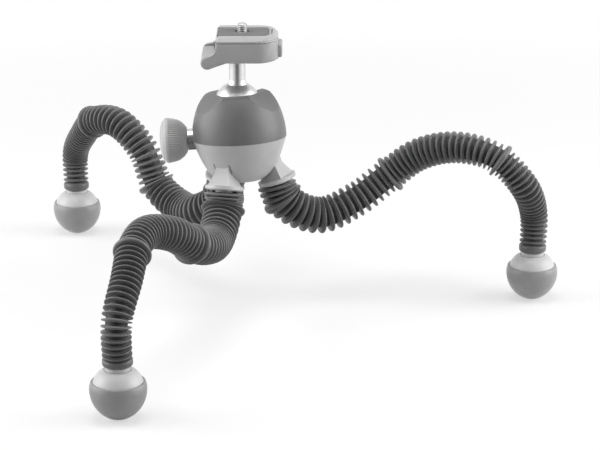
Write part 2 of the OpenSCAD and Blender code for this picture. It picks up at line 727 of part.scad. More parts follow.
// Legs
flange_h = 2.2;
flange_end = 0.6;
module collar_pyramid(grow) {
    rotate([0, 0, 45]) cylinder(r1 = neck_side / sqrt(2) + grow, r2 = flange_r - 0.4 + grow, h = collar_h, $fn = 4);
}

module collar_neck(grow) {
    side = neck_side + 2 * grow;
    translate([-side / 2, -side / 2, -collar_h - neck_l - grow]) cube([side, side, neck_l + 1]);
}

// Cup that holds a ball at z = 0 and opens towards +Z.
module cup(i) {
    mouth = 0.2 * link_ball_r(i);
    depth = link_ball_r(i) + 1;
    translate([0, 0, -depth]) cylinder(r = cup_r(i), h = depth + mouth);
}

module cup_hollow(i) sphere(link_ball_r(i) + run_fit);

module collar(k) {
    color("#dcdddd") at_body() in_body_at_root(k) difference() {
        union() {
            translate([0, 0, -collar_h]) collar_pyramid(0);
            collar_neck(0);
            translate([0, 0, flange_end - flange_h]) cylinder(r = flange_r, h = flange_h);
            cylinder(r = flange_r - 1.2, h = sleeve_start - slide_fit);
            cylinder(r = cup_r(0), h = root_drop - link_ball_r(0));
            translate([0, 0, root_drop]) cup(0);
        }
        translate([0, 0, root_drop]) cup_hollow(0);
    }
}

module sleeve(k) {
    outside = [for (q = sleeve_outside) for (p = leg_ring(k, q[0], q[1])) p];
    inside = [for (q = sleeve_bore) for (p = leg_ring(k, q[0], q[1])) p];
    m = len(outside);
    color("#6a6c6f") polyhedron(concat(outside, inside), concat(
        skin(0, len(sleeve_outside), false),
        skin(m, len(sleeve_bore), true),
        rim(0, m, false),
        rim(m - ring_sides, m + len(inside) - ring_sides, true)));
}

module link(k, i) {
    ball = link_ball_r(i);
    neck = 0.36 * ball;
    neck_end = 1.9 * ball;
    joined = 0.4;
    last = i == links - 1;
    color("#7d8083") at_link(k, i) difference() {
        union() {
            sphere(ball);
            cylinder(r = neck, h = link_l - ball - joined);
            if (last) {
                translate([0, 0, neck_end]) cylinder(r1 = neck, r2 = stub_r, h = link_l - stub_l - neck_end);
                translate([0, 0, link_l - stub_l]) cylinder(r = stub_r, h = 2 * stub_l);
            } else {
                base = link_l - link_ball_r(i + 1) - 1;
                translate([0, 0, neck_end]) cylinder(r1 = neck, r2 = cup_r(i + 1), h = base - neck_end);
                translate([0, 0, link_l]) cup(i + 1);
            }
        }
        if (!last) translate([0, 0, link_l]) cup_hollow(i + 1);
    }
}

// Feet
stub_r = 3.4;
stub_l = 6;
spike_r = 9;
cap_neck_l = 1.5;
dome_start = [cuff_r, cap_neck_l + 0.3];
dome_bulge = [cuff_r + 3.8, cap_neck_l + 2];
dome_lip = [foot_r - 2.2, cap_h];
function dome_curve(t) = (1 - t) * (1 - t) * dome_start + 2 * t * (1 - t) * dome_bulge + t * t * dome_lip;
module foot_cap(k) {
    steps = 8;
    color("#c9cacb") at_foot(k) difference() {
        rotate_extrude() polygon(concat(
            [[0, slide_fit], [cuff_r - 1.6, slide_fit], [cuff_r - 1.6, cap_neck_l]],
            [for (i = [0:steps]) dome_curve(i / steps)],
            [[spike_r, cap_h], [spike_r, foot_drop], [0, foot_drop]]));
        cylinder(r = stub_r + run_fit, h = stub_l + 0.2);
    }
}

// The rubber foot is an egg, rounded at the lip that takes the cap. Z runs down from its widest place.
module foot_pad(k) {
    steps = 18;
    lip_round = 0.8;
    top_stretch = 0.75;
    lip_r = foot_r * sqrt(1 - pow((lip_rise - lip_round) / (foot_r * top_stretch), 2));
    color("#77797b") at_foot(k) translate([0, 0, foot_drop]) difference() {
        rotate_extrude($fn = 96) polygon(concat(
            [[0, -lip_rise]],
            [for (a = [0:30:90]) [lip_r - lip_round * (1 - sin(a)), -lip_rise + lip_round * (1 - cos(a))]],
            [for (a = [-10, 0]) [foot_r * cos(a), foot_r * top_stretch * sin(a)]],
            [for (i = [1:steps - 1]) let (a = 90 * i / steps) [foot_r * cos(a), foot_depth * sin(a)]],
            [[0, foot_depth]]));
        translate([0, 0, -lip_rise - 1]) cylinder(r = spike_r + run_fit, h = lip_rise + 1 + run_fit);
    }
}

quick_release_plate();
plate_pad();
camera_screw();
plate_clamp();
clamp_lever();
lever_pin();
catch_button();
catch_spring();
ball_stem();
stem_screw();
ball_seat();
upper_shell();
lower_shell();
body_core();
shell_screws();
lock_knob();
knob_cap();
lock_shaft();
lock_nut();
knob_bush();
for (k = [0:2]) {
    collar(k);
    sleeve(k);
    foot_cap(k);
    foot_pad(k);
    for (i = [0:links - 1])
        link(k, i);
}
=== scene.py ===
"""Looks of a flexible leg tripod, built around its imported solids. Metres, in the solids' own frame."""

import json
import math

import bmesh
import bpy
import numpy as np
from mathutils import Matrix, Vector

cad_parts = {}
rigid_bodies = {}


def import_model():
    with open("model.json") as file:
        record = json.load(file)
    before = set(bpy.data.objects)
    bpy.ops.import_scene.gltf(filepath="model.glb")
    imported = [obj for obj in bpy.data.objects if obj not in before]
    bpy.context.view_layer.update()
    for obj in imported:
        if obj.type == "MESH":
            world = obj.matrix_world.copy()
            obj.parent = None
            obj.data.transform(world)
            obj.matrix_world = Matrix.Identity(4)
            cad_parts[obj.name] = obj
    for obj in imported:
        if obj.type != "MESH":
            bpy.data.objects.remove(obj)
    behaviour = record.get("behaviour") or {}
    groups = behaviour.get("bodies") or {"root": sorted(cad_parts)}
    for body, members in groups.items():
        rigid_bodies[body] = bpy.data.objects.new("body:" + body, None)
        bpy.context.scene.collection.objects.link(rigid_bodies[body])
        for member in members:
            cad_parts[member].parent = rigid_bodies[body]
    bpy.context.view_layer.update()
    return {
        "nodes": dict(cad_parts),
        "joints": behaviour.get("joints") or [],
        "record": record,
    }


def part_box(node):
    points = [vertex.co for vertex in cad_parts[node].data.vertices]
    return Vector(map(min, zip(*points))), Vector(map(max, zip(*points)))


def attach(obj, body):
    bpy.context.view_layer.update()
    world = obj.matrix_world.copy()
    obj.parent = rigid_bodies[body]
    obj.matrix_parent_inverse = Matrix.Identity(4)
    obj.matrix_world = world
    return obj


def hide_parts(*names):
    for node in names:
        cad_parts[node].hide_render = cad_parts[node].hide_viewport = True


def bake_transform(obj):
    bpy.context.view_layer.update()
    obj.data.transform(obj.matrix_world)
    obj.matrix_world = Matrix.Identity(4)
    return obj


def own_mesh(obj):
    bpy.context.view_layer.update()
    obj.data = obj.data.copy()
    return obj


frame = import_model()
nodes = frame["nodes"]
joint = {j["name"]: j for j in frame["joints"]}
MM = 0.001

# Sizes shared with the solids
LEGS = ("right", "back", "front")
LINKS = 9
FIRST_BEARING = 2
ROOT_TILT = 15
LEAN_BACK = 5
LEAN_SIDE = 3
BALL_Z = 21 * MM
ROOT_DROP = 14 * MM
SLEEVE_START = 1.5 * MM
STRETCHES = ((3, 3.1 * MM), (16, 4.8 * MM), (19, 3.95 * MM), (20, 3.3 * MM))
RING_W = 4 * MM
RING_PROUD = 1.6 * MM
RIB_R = (12.6 * MM, 8.6 * MM)
CUFF_R = 8.8 * MM
CUFF_LIP = 1.4 * MM
BORE_R = (7.9 * MM, 5.7 * MM)
SLEEVE_WALL = 0.5 * MM
FOOT_R = 16.5 * MM
FOOT_DEPTH = 1.17 * FOOT_R
LIP_RISE = 0.27 * FOOT_R
CAP_H = 8.4 * MM
FOOT_DROP = CAP_H + LIP_RISE
SCREW_R = 3.175 * MM
SCREW_L = 5.5 * MM
SCREW_PITCH = 1.27 * MM
SCREW_HEAD_R = 7.2 * MM
SCREW_HEAD_H = 2.6 * MM
PLATE_W = 40 * MM
PLATE_BACK = 13 * MM
PLATE_FRONT = 26 * MM
PLATE_H = 2.6 * MM
CORNER_R = 13 * MM
KNOB_GROOVES = 60
EAR_REACH = 5.2 * MM
EAR_R = 4.2 * MM
EAR_W = 4 * MM

# Finer sizes that only the looks have
RIB_CREST = (0.2, 0.13)  # half width of a rib's crest at each end of a leg, as a share of the pitch
RIB_SPREAD = 0.1  # how much wider a rib's foot is, as a share of the pitch
RING_CREST = 0.34
RING_FOOT = 0.46
RIB_SEGMENTS = 56
BORE_STEPS = 5
# Height above the bore up to which a groove floor takes the darker rubber: painted shade
PAINTED_SHADE_HEIGHT = 0.8 * MM
BEND_REACH = 0.36  # share of a link, on each side of a ball joint, at which the leg's curve is worked out
NECK_L = 2.4 * MM
FOOT_SET_DOWN = 0.9 * MM

# The knob's radius and height from its inner end, and its grooves, in millimetres
KNOB_PROFILE = (
    (7.6, 0), (8.4, 0.4), (10.6, 2.2), (11.9, 3.9), (12.7, 5.2),
    (13.1, 6.2), (13.5, 7.6), (13.8, 9), (14, 10.2), (14.2, 11.4),
    (14.3, 12), (14.3, 12.8), (14.1, 13.6), (13.6, 14.2), (13.1, 14.6),
)
KNOB_GROOVE_DEPTH = 0.7
KNOB_GROOVE_ENDS = (3.5, 11.5)

# Turns and rounded edges
COLLAR_TURN = 30
PLATE_ROUND = 0.8 * MM
CLAMP_ROUND = 1.2 * MM
BUTTON_ROUND = 1.2 * MM
PLATE_GAP = 0.05 * MM
GROOVE_HALF = 10 * MM
SMALL_ROUND = 0.4 * MM

# Places worked out from the frame
SIDE_TURN = Matrix.Rotation(math.radians(-LEAN_SIDE), 3, "Y")
BODY_TURN = SIDE_TURN @ Matrix.Rotation(math.radians(-LEAN_BACK), 3, "X")
HEAD = Vector(joint["head_tilt"]["pos_m"])
BODY = HEAD - BODY_TURN @ Vector((0, 0, BALL_Z))
SCREW_FOOT = Vector(joint["camera_screw_turn"]["pos_m"])
DOWN = Vector((0, 0, -1))


# Materials
def principled(name, colour, rough, metallic=0.0):
    """A new material and its shader, with plain values on the shader's own sockets."""
    mat = bpy.data.materials.new(name)
    mat.use_nodes = True
    shader = mat.node_tree.nodes["Principled BSDF"]
    shader.inputs["Base Color"].default_value = (*colour, 1)
    shader.inputs["Roughness"].default_value = rough
    shader.inputs["Metallic"].default_value = metallic
    return mat, shader


def noise_in(tree, scale, detail, stretch=None):
    """Noise over the piece's own coordinates, stretched where that is asked for."""
    where = tree.nodes.new("ShaderNodeTexCoord").outputs["Object"]
    if stretch:
        mapping = tree.nodes.new("ShaderNodeMapping")
        mapping.inputs["Scale"].default_value = stretch
        tree.links.new(where, mapping.inputs["Vector"])
        where = mapping.outputs["Vector"]
    noise = tree.nodes.new("ShaderNodeTexNoise")
    noise.inputs["Scale"].default_value = scale
    noise.inputs["Detail"].default_value = detail
    tree.links.new(where, noise.inputs["Vector"])
    return noise.outputs["Fac"]


def add_bump(tree, shader, height, strength, depth):
    """Bump on a shader from a height."""
    bump = tree.nodes.new("ShaderNodeBump")
    bump.inputs["Strength"].default_value = strength
    bump.inputs["Distance"].default_value = depth
    tree.links.new(height, bump.inputs["Height"])
    tree.links.new(bump.outputs["Normal"], shader.inputs["Normal"])


def add_grain(mat, shader, scale, depth):
    """Fine moulded grain, as a bump."""
    tree = mat.node_tree
    add_bump(tree, shader, noise_in(tree, scale, 3), 0.6, depth)


def add_mottle(mat, shader, colour, spread, scale):
    """Slight unevenness of the colour, as moulded plastic and rubber have."""
    tree = mat.node_tree
    ramp = tree.nodes.new("ShaderNodeValToRGB")
    ramp.color_ramp.elements[0].position = 0.3
    ramp.color_ramp.elements[1].position = 0.7
    for element, gain in zip(ramp.color_ramp.elements, (1 - spread, 1 + spread)):
        element.color = (*[c * gain for c in colour], 1)
    tree.links.new(noise_in(tree, scale, 4), ramp.inputs["Fac"])
    tree.links.new(ramp.outputs["Color"], shader.inputs["Base Color"])


def linear(level):
    """Linear grey for a grey level as a screen shows it, from 0 to 255."""
    c = level / 255
    value = c / 12.92 if c <= 0.04045 else ((c + 0.055) / 1.055) ** 2.4
    return (value, value, value)


def moulded(name, level, rough, grain=2600, depth=0.00004):
    """Moulded plastic with a fine grain."""
    colour = linear(level)
    mat, shader = principled(name, colour, rough)
    add_grain(mat, shader, grain, depth)
    add_mottle(mat, shader, colour, 0.03, 140)
    return mat


def rubbery(name, level, rough, sheen):
    """Matt rubber with some sheen."""
    colour = linear(level)
    mat, shader = principled(name, colour, rough)
    shader.inputs["Sheen Weight"].default_value = sheen
    shader.inputs["Sheen Roughness"].default_value = 0.4
    add_grain(mat, shader, 1800, 0.00005)
    add_mottle(mat, shader, colour, 0.04, 220)
    return mat


def turned(name, level, rough):
    """Satin turned metal with fine lines round its axis."""
    mat, shader = principled(name, linear(level), rough, 1.0)
    tree = mat.node_tree
    add_bump(tree, shader, noise_in(tree, 1, 2, (60, 60, 5200)), 0.25, 0.00003)
    return mat


finish = {
    "plate": moulded("plate grey", 174, 0.4),
    "pad_rubber": rubbery("pad rubber", 126, 0.75, 0.1),
    "steel": turned("steel", 190, 0.28),
    "clamp": moulded("clamp grey", 164, 0.4),
    "button": moulded("button grey", 160, 0.4),
    "ball_metal": turned("satin aluminium", 208, 0.36),
    "inner_plastic": moulded("inner plastic", 96, 0.5),
    "upper_shell": moulded("upper shell grey", 105, 0.42),
    "lower_shell": moulded("lower shell grey", 186, 0.42),
    "knob": moulded("knob grey", 186, 0.42),
    "knob_cap": moulded("knob cap grey", 186, 0.4),
    "brass": turned("brass", 170, 0.35),
    "bush": turned("boss aluminium", 205, 0.25),
    "collar": moulded("collar grey", 196, 0.42),
    "leg_rubber": rubbery("leg rubber", 92, 0.42, 0.5),
    "foot_cap": moulded("foot cap grey", 202, 0.4),
    "foot_rubber": rubbery("foot rubber", 143, 0.4, 0.5),
}
# Darker rubber for the groove floors: painted shade, standing in for the shade the ribs cast there
groove_painted_shade = rubbery("leg rubber in the grooves", 44, 0.6, 0.1)


# Meshes
def shade(mesh, angle=32):
    """Smooth shading, sharp where the surface turns by more than the angle."""
    mesh.shade_smooth()
    mesh.set_sharp_from_angle(angle=math.radians(angle))


def finished(name, mesh, slot, angle):
    """A visible piece with a mesh, finished in a slot's material."""
    shade(mesh, angle)
    mesh.materials.append(finish[slot])
    obj = bpy.data.objects.new(name, mesh)
    bpy.context.scene.collection.objects.link(obj)
    return obj


def new_piece(name, points, faces, slot, angle=32):
    """A visible piece from points and faces."""
    mesh = bpy.data.meshes.new(name)
    mesh.from_pydata([tuple(p) for p in points], [], faces)
    mesh.validate()
    return finished(name, mesh, slot, angle)


def band(first, rings, segments):
    """Faces between consecutive rings of points."""
    faces = []
    for n in range(rings - 1):
        for j in range(segments):
            a = first + n * segments + j
            b = first + n * segments + (j + 1) % segments
            faces.append((a, b, b + segments, a + segments))
    return faces


def capped_band(rings, segments):
    """Faces between consecutive rings of points, and a flat face at each end."""
    last = (rings - 1) * segments
    ends = [tuple(range(segments))[::-1], tuple(last + j for j in range(segments))]
    return band(0, rings, segments) + ends


def axes_at(origin, direction):
    """Place whose Z runs along a direction."""
    z = Vector(direction).normalized()
    x = Vector((1, 0, 0)) if abs(z.x) < 0.9 else Vector((0, 1, 0))
    x = (x - x.dot(z) * z).normalized()
    place = Matrix((x, z.cross(x), z)).transposed().to_4x4()
    place.translation = origin
    return place


def lathe(name, profile, place, slot, segments=96, angle=32):
    """Turned piece: profile is (radius, height) from the axis out and back to the axis."""
    points = [place @ Vector((0, 0, profile[0][1]))]
    rings = profile[1:-1]
    for r, z in rings:
        for j in range(segments):
            a = 2 * math.pi * j / segments
            points.append(place @ Vector((r * math.cos(a), r * math.sin(a), z)))
    points.append(place @ Vector((0, 0, profile[-1][1])))
    faces = band(1, len(rings), segments)
    last = 1 + (len(rings) - 1) * segments
    for j in range(segments):
        n = (j + 1) % segments
        faces.append((0, 1 + n, 1 + j))
        faces.append((len(points) - 1, last + j, last + n))
    return new_piece(name, points, faces, slot, angle)


def arc(centre, radius, start, end, steps):
    """Points of an arc in a profile, angles in degrees from the outward direction."""
    angles = np.radians(np.linspace(start, end, steps + 1))
    return [(centre[0] + radius * math.cos(a), centre[1] + radius * math.sin(a)) for a in angles]


# Legs
def along(s, ends, length):
    """A value that runs evenly from one end of a leg to the other."""
    return ends[0] + (ends[1] - ends[0]) * s / length


class Leg:
    """A leg's curve, through its ball joints, as the solids have it."""

    def __init__(self, name, number):
        self.name = name
        bearing = math.radians(FIRST_BEARING + 120 * number)
        tilt = math.radians(ROOT_TILT)
        out = Vector((math.cos(bearing), math.sin(bearing), 0))
        self.side = Vector((-math.sin(bearing), math.cos(bearing), 0))
        self.root_dir = BODY_TURN @ (out * math.sin(tilt) + DOWN * math.cos(tilt))
        hinges = [j for j in frame["joints"] if j["name"].startswith(name + "_leg_")]
        balls = [Vector(j["pos_m"]) for j in hinges]
        self.pairs = [(j["parent"], j["child"]) for j in hinges]
        self.link = (balls[1] - balls[0]).length
        self.length = ROOT_DROP + LINKS * self.link
        self.end = balls[-1] + self.link * DOWN
        before = [balls[0] - n * self.link * self.root_dir for n in (2, 1)]
        self.knots = [*before, *balls, self.end, self.end + self.link * DOWN]

    def point(self, s):
        u = (s - ROOT_DROP) / self.link
        i = min(math.floor(u), LINKS - 1)
        t = u - i
        before, a, b, after = self.knots[i + 1:i + 5]
        leave = (b - before) / 2
        reach = (after - a) / 2
        return ((2 * t**3 - 3 * t**2 + 1) * a + (t**3 - 2 * t**2 + t) * leave
                + (3 * t**2 - 2 * t**3) * b + (t**3 - t**2) * reach)

    def ring(self, s, radius, segments):
        """Circle of points square to the curve."""
        step = 0.2 * MM
        t = (self.point(s + step) - self.point(s - step)).normalized()
        e1 = (self.side - self.side.dot(t) * t).normalized()
        e2 = t.cross(e1)
        centre = self.point(s)
        angles = [2 * math.pi * j / segments for j in range(segments)]
        return [centre + radius * (math.cos(a) * e1 + math.sin(a) * e2) for a in angles]


def bump_profile(start, pitch, low, high, crest, foot, steps=6):
    """One rib: from the groove's middle up one side, over a round crest and down again."""
    middle = start + pitch / 2
    round_h = min(crest * 1.2, 0.5 * (high - low))
    profile = [(start, low), (middle - foot, low)]
    for n in range(steps + 1):
        a = math.pi * n / steps
        profile.append((middle - crest * math.cos(a), high - round_h * (1 - math.sin(a))))
    profile.append((middle + foot, low))
    return profile


def sleeve_profile(length):
    """Stations and radii down a sleeve, and the stations of its groove middles."""
    profile = []
    cuts = []
    s = SLEEVE_START
    for number, (ribs, pitch) in enumerate(STRETCHES):
        for n in range(ribs):
            cuts.append(s)
            low = along(s, BORE_R, length) + SLEEVE_WALL
            high = along(s + pitch / 2, RIB_R, length)
            crest = along(s, RIB_CREST, length)
            profile += bump_profile(s, pitch, low, high, crest * pitch, (crest + RIB_SPREAD) * pitch)
            s += pitch
        cuts.append(s)
        low = along(s, BORE_R, length) + SLEEVE_WALL
        if number < len(STRETCHES) - 1:
            high = along(s, RIB_R, length) + RING_PROUD
            profile += bump_profile(s, RING_W, low, high, RING_CREST * RING_W, RING_FOOT * RING_W, 10)
            s += RING_W
    cuff = s + 0.2 * MM
    profile += [(s, low), (cuff, low)]
    quarter = np.radians((0, 30, 60, 90))
    corner = [(CUFF_LIP * (1 - math.cos(a)), CUFF_LIP * (1 - math.sin(a))) for a in quarter]
    profile += [(cuff + run, CUFF_R - fall) for run, fall in corner]
    profile += [(length - fall, CUFF_R - run) for run, fall in corner]
    return profile, cuts


def first_at(profile, s):
    """Index of the first station of a profile at s."""
    return next(i for i, q in enumerate(profile) if abs(q[0] - s) < 1e-9)


def sleeve(leg):
    """The rubber sleeve, one closed piece for each ball joint, cut in a groove between the joints, with
    painted shade on the groove floors.
    """
    profile, cuts = sleeve_profile(leg.length)
    bounds = [SLEEVE_START]
    for n in range(1, LINKS):
        middle = ROOT_DROP + (n - 0.5) * leg.link
        bounds.append(min(cuts, key=lambda c: abs(c - middle)))
    bounds.append(leg.length)
    for n in range(LINKS):
        s0, s1 = bounds[n], bounds[n + 1]
        last = len(profile) - 1 if n == LINKS - 1 else first_at(profile, s1)
        outer = profile[first_at(profile, s0):last + 1]
        bore = [s1 + (s0 - s1) * k / BORE_STEPS for k in range(BORE_STEPS + 1)]
        stations = outer + [(s, along(s, BORE_R, leg.length)) for s in bore] + [outer[0]]
        points = [p for s, r in stations[:-1] for p in leg.ring(s, r, RIB_SEGMENTS)]
        faces = band(0, len(stations) - 1, RIB_SEGMENTS)
        tail = (len(stations) - 2) * RIB_SEGMENTS
        for j in range(RIB_SEGMENTS):
            k = (j + 1) % RIB_SEGMENTS
            faces.append((tail + j, tail + k, k, j))
        part = new_piece(f"{leg.name}_sleeve_{n + 1}", points, faces, "leg_rubber", 50)
        # Faces low in the grooves take the darker rubber: painted shade
        part.data.materials.append(groove_painted_shade)
        low = [r < along(s, BORE_R, leg.length) + PAINTED_SHADE_HEIGHT for s, r in stations]
        for face in part.data.polygons:
            k = face.index // RIB_SEGMENTS
            face.material_index = int(low[k] and low[k + 1])
        ball = ROOT_DROP + n * leg.link
        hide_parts(f"{leg.name}_sleeve")
        reach = BEND_REACH * leg.link
        leg.point(ball - reach)
        leg.point(ball + reach)
        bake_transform(part)


def foot(leg):
    """Foot cap and egg-shaped rubber foot, turned about the leg's end."""
    place = axes_at(leg.end, DOWN)
    neck_r = CUFF_R - 1.6 * MM
    cap_h = CAP_H + FOOT_SET_DOWN
    drop = FOOT_DROP + FOOT_SET_DOWN
    depth = FOOT_DEPTH - FOOT_SET_DOWN
    start = np.array((CUFF_R, NECK_L + 0.3 * MM))
    bulge = np.array((CUFF_R + 3.8 * MM, NECK_L + 2 * MM))
    lip = np.array((FOOT_R - 2 * MM, cap_h + 0.4 * MM))
    dome = [tuple((1 - t)**2 * start + 2 * t * (1 - t) * bulge + t**2 * lip) for t in np.linspace(0, 1, 14)]
    under = cap_h + 1 * MM
    cap = lathe(f"{leg.name}_foot_cap_turned",
                [(0, 0.3 * MM), (neck_r, 0.3 * MM), (neck_r, NECK_L), (CUFF_R - 0.5 * MM, NECK_L),
                 (CUFF_R - 0.15 * MM, NECK_L + 0.1 * MM), *dome, (lip[0] - 1 * MM, under), (0, under)],
                place, "foot_cap", angle=40)
    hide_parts(f"{leg.name}_foot_cap")
    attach(cap, f"{leg.name}_link_{LINKS}")
    rim_round = 0.9 * MM
    rim_h = LIP_RISE - rim_round
    rise = 0.75 * FOOT_R
    rim_r = FOOT_R * math.sqrt(1 - (rim_h / rise)**2)
    rim = arc((rim_r - rim_round, cap_h + rim_round), rim_round, -170, -20, 8)
    side = [(FOOT_R * math.cos(a), drop + rise * math.sin(a)) for a in np.radians((-14, -9, -4))]
    egg = [(FOOT_R * math.cos(a), drop + depth * math.sin(a)) for a in np.linspace(0, math.pi / 2, 33)[:-1]]
    inside = cap_h + 1.2 * MM
    ball = lathe(f"{leg.name}_foot_ball",
                 [(0, inside), (rim_r - 2 * rim_round, inside), *rim, *side, *egg, (0, drop + depth)],
                 place, "foot_rubber", angle=60)
    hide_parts(f"{leg.name}_foot_pad")
    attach(ball, f"{leg.name}_link_{LINKS}")


def camera_screw():
    """Camera screw: a head under the plate, a neck, and a thread that runs out at the chamfered tip."""
    segments = 64
    per_turn = 14
    depth = 0.8 * MM
    chamfer = 0.8 * MM
    start = -2 * MM
    steps = int(round((SCREW_L - start) / SCREW_PITCH * per_turn))
    points = []
    for n in range(steps + 1):
        z = start + (SCREW_L - start) * n / steps
        most = SCREW_R - max(0, z - SCREW_L + chamfer)
        for j in range(segments):
            turn = j / segments
            a = 2 * math.pi * turn
            groove = abs(2 * ((z / SCREW_PITCH - turn) % 1) - 1)
            r = min(SCREW_R - depth * min(1, max(0, 1.25 * groove - 0.2)), most)
            points.append(SCREW_FOOT + Vector((r * math.cos(a), r * math.sin(a), z)))
    thread = new_piece("camera_screw_thread", points, capped_band(steps + 1, segments), "steel", 40)
    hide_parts("camera_screw")
    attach(thread, "camera_screw")
    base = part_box("camera_screw")[0].z - SCREW_FOOT.z
    neck_r = SCREW_R - 0.5 * MM
    edge = 0.4 * MM
    head = lathe("camera_screw_head",
                 [(0, base), (SCREW_HEAD_R - edge, base), (SCREW_HEAD_R, base + edge),
                  (SCREW_HEAD_R, base + SCREW_HEAD_H - edge), (SCREW_HEAD_R - edge, base + SCREW_HEAD_H),
                  (neck_r, base + SCREW_HEAD_H), (neck_r, start + 0.5 * MM), (0, start + 0.5 * MM)],
                 axes_at(SCREW_FOOT, (0, 0, 1)), "steel")
    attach(head, "camera_screw")


def clamp_lever():
    """Finger lever between the ears: round below, with a dish across the top."""
    pin = Vector(joint["lever_flip"]["pos_m"])
    low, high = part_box("clamp_lever")
    half = (high.y - low.y) / 2
    middle = (high.y + low.y) / 2
    radius = EAR_R
    top = 2.9 * MM
    dish = 1.3 * MM
    stations = 40
    around = 48
    points = []
    for n in range(stations + 1):
        y = half * (2 * n / stations - 1)
        level = top - dish * (1 - (y / half)**2)
        edge = math.asin(level / radius)
        for j in range(around):
            a = math.pi - edge + (math.pi + 2 * edge) * j / (around - 1)
            points.append((pin.x + radius * math.cos(a), middle + y, pin.z + radius * math.sin(a)))
    lever = new_piece("clamp_lever_dished", points, capped_band(stations + 1, around), "plate", 40)
    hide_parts("clamp_lever")
    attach(lever, "clamp_lever")


def piece(name, mesh, slot, node, body):
    """A visible piece from an edited mesh, in place of a node."""
    data = bpy.data.meshes.new(name)
    mesh.to_mesh(data)
    mesh.free()
    obj = finished(name, data, slot, 28)
    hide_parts(node)
    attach(obj, body)
    return obj


def from_head(point):
    """A point's place from the head's axis, with both sides of the plate laid on one another."""
    return point.x - HEAD.x, abs(point.y - HEAD.y)


def on_outline(point):
    """Whether a point lies on the outline that the plate and the clamp share."""
    x, y = from_head(point)
    corner = math.hypot(x - PLATE_FRONT + CORNER_R, y - PLATE_W / 2 + CORNER_R)
    near = 0.02 * MM
    if x > PLATE_FRONT - CORNER_R and y > PLATE_W / 2 - CORNER_R:
        return abs(corner - CORNER_R) < near
    return abs(y - PLATE_W / 2) < near or abs(x + PLATE_BACK) < near or abs(x - PLATE_FRONT) < near


def lock_knob():
    """The lock knob with its grip grooves, turned about its axis."""
    origin = Vector(joint["knob_turn"]["pos_m"])
    out = Vector(joint["knob_turn"]["axis"])
    if out.x > 0:
        out = -out
    inner_end = min((v.co - origin).dot(out) for v in nodes["lock_knob"].data.vertices)
    place = axes_at(origin + inner_end * out, out)
    per_groove = 8
    segments = KNOB_GROOVES * per_groove
    points = []
    for r, z in KNOB_PROFILE:
        deep = KNOB_GROOVE_DEPTH if KNOB_GROOVE_ENDS[0] < z < KNOB_GROOVE_ENDS[1] else 0
        for j in range(segments):
            wave = 0.5 - 0.5 * math.cos(2 * math.pi * j / per_groove)
            a = 2 * math.pi * j / segments
            reach = (r - deep * wave**2) * MM
            points.append(place @ Vector((reach * math.cos(a), reach * math.sin(a), z * MM)))
    knob = new_piece("lock_knob_grooved", points, capped_band(len(KNOB_PROFILE), segments), "knob", 40)
    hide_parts("lock_knob")
    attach(knob, "lock_knob")


def rounded_outside(node, slot, round_r, keep, floor=None):
    """A head piece whose outer edges are rounded, apart from those that keep says to leave.

    floor gives the height of an underside and the height to which it is set down,
    with the foot of the wall around it."""
    mesh = bmesh.new()
    mesh.from_mesh(nodes[node].data)
    bmesh.ops.remove_doubles(mesh, verts=mesh.verts, dist=1e-6)
    bmesh.ops.dissolve_limit(mesh, angle_limit=math.radians(0.5), verts=mesh.verts, edges=mesh.edges)
    edges = [e for e in mesh.edges if e.is_convex and e.calc_face_angle(0) > math.radians(50)
             and all(on_outline(v.co) for v in e.verts) and not keep(e)]
    bmesh.ops.bevel(mesh, geom=edges, offset=round_r, segments=5, profile=0.5, affect="EDGES",
                    clamp_overlap=False)
    if floor:
        for vert in mesh.verts:
            if floor[0] - 1 * MM < vert.co.z < floor[0] + 0.01 * MM:
                vert.co.z = floor[1]
        bmesh.ops.dissolve_degenerate(mesh, edges=mesh.edges, dist=0.001 * MM)
    piece(f"{node}_rounded", mesh, slot, node, node)


def catch_button():
    """The catch button as a block with rounded edges."""
    low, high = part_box("catch_button")
    mesh = bmesh.new()
    bmesh.ops.create_cube(mesh, size=1)
    for vert in mesh.verts:
        vert.co = [low[k] + (high[k] - low[k]) * (vert.co[k] + 0.5) for k in range(3)]
    bmesh.ops.bevel(mesh, geom=mesh.edges[:], offset=BUTTON_ROUND, segments=5, profile=0.5, affect="EDGES")
    piece("catch_button_rounded", mesh, "button", "catch_button", "catch_button")


def soften(node, width):
    """Edges of a piece rounded a little, as moulded pieces have them."""
    bevel = node.modifiers.new("round edges", "BEVEL")
    bevel.width = width
    bevel.segments = 3
    bevel.limit_method = "ANGLE"
    bevel.angle_limit = math.radians(35)
    bevel.use_clamp_overlap = False
    bevel.harden_normals = True


def ear_fillets():
    """Hollow fillets that lead from the clamp's end down to the top of its ears."""
    low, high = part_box("plate_clamp")
    pin = Vector(joint["lever_flip"]["pos_m"])
    end = pin.x + EAR_REACH
    top = pin.z + EAR_R
    for name, y0, y1 in (("near", low.y, low.y + EAR_W), ("far", high.y - EAR_W, high.y)):
        outline = [(end + 1 * MM, top - 1 * MM), (end + 1 * MM, top + EAR_REACH)]
        outline += [(end - EAR_REACH * (1 - math.cos(a)), top + EAR_REACH * (1 - math.sin(a)))
                    for a in np.linspace(0, math.pi / 2, 13)]
        outline.append((end - EAR_REACH, top - 1 * MM))
        points = [(x, y, z) for y in (y0, y1) for x, z in outline]
        count = len(outline)
        faces = [tuple(range(count)), tuple(range(2 * count - 1, count - 1, -1))]
        faces += [((j + 1) % count, j, j + count, (j + 1) % count + count) for j in range(count)]
        fillet = new_piece(f"{name}_ear_fillet", points, faces, "clamp")
        soften(fillet, SMALL_ROUND)
        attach(fillet, "plate_clamp")


